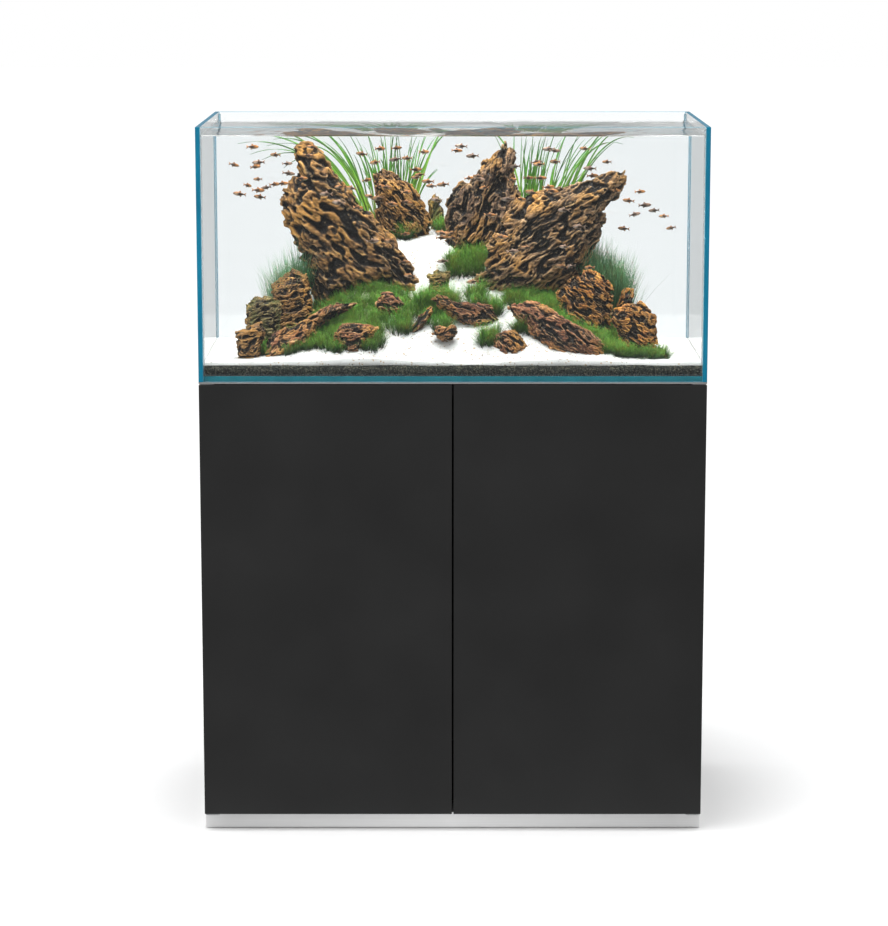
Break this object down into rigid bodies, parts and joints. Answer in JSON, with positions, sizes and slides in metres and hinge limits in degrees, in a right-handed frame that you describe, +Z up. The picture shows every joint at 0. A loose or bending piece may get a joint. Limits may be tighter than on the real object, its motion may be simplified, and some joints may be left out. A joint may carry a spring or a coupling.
{
  "type": "planted aquarium on stand",
  "caption": "Frameless glass aquarium with a stone and grass planted layout, standing on a plain cabinet with hinged doors and a recessed plinth.",
  "frame": {"origin": "On the floor under the middle of the cabinet: the middle of the bounding box's bottom.", "axes": "+Z up, +X to the viewer's right, -Y towards the viewer (the doors)."},
  "size_m": [0.9, 0.45, 1.276],
  "materials": {
    "beech": "beech",
    "black_lacquer": "fibreboard with matt black lacquer",
    "black_plastic": "moulded",
    "bush_brass": "turned",
    "carcass_board": "fibreboard with matt black lacquer",
    "foam_mat": "closed-cell foam mat",
    "hairgrass": "dense fine grass leaves",
    "plinth": "fibreboard with a pale brushed metal foil",
    "sand": "fine pale sand with sparse dark grains",
    "silicone": "clear silicone sealant",
    "soil": "granular dark planting soil",
    "steel": "zinc plated",
    "stone": "layered ochre and brown clay rock, pitted",
    "tall_grass": "fine tall grass leaves",
    "tank_glass": "polished float glass with a blue tint at its edges",
    "vallisneria": "long ribbon leaves, translucent green"
  },
  "bodies": {
    "root": {"carcass_back": "carcass_board", "carcass_bottom": "carcass_board", "carcass_dowels": "beech", "carcass_side_left": "carcass_board", "carcass_side_right": "carcass_board", "carcass_top": "carcass_board", "catch_screws": "steel", "hairgrass_left": "hairgrass", "hairgrass_path": "hairgrass", "hairgrass_right": "hairgrass", "hinge_pins": "steel", "hinge_plates": "steel", "hinge_screws": "steel", "levelling_feet": "black_plastic", "magnetic_catches": "black_plastic", "plinth_front": "plinth", "plinth_rear": "plinth", "plinth_screws": "steel", "plinth_side_left": "plinth", "plinth_side_right": "plinth", "port_grommets": "black_plastic", "sand_bed": "sand", "soil_layer": "soil", "stone_back_small": "stone", "stone_block_left": "stone", "stone_front_left": "stone", "stone_front_middle": "stone", "stone_front_right": "stone", "stone_log": "stone", "stone_long_left": "stone", "stone_middle_left": "stone", "stone_mound_top": "stone", "stone_ochre_left": "stone", "stone_ochre_right": "stone", "stone_peak_left": "stone", "stone_peak_right": "stone", "stone_pebble": "stone", "stone_round_left": "stone", "stone_shard": "stone", "stone_shoulder_left": "stone", "stone_shoulder_right": "stone", "stone_side_right": "stone", "stone_slab_right": "stone", "tall_grass_left": "tall_grass", "tall_grass_right": "tall_grass", "tank_back_pane": "tank_glass", "tank_base_pane": "tank_glass", "tank_front_pane": "tank_glass", "tank_mat": "foam_mat", "tank_side_pane_left": "tank_glass", "tank_side_pane_right": "tank_glass", "tank_silicone": "silicone", "vallisneria_left": "vallisneria", "vallisneria_right": "vallisneria"},
    "door_left": {"door_bushes_left": "bush_brass", "door_left": "black_lacquer", "strike_plate_left": "steel"},
    "door_right": {"door_bushes_right": "bush_brass", "door_right": "black_lacquer", "strike_plate_right": "steel"}
  },
  "joints": [
    {"name": "door_left_hinge", "type": "hinge", "parent": "root", "child": "door_left", "pos_m": [-0.4449, -0.2155, 0.4265], "axis": [0, 0, -1], "range_deg": [0, 105]},
    {"name": "door_right_hinge", "type": "hinge", "parent": "root", "child": "door_right", "pos_m": [0.4449, -0.2155, 0.4265], "axis": [0, 0, 1], "range_deg": [0, 105]}
  ]
}
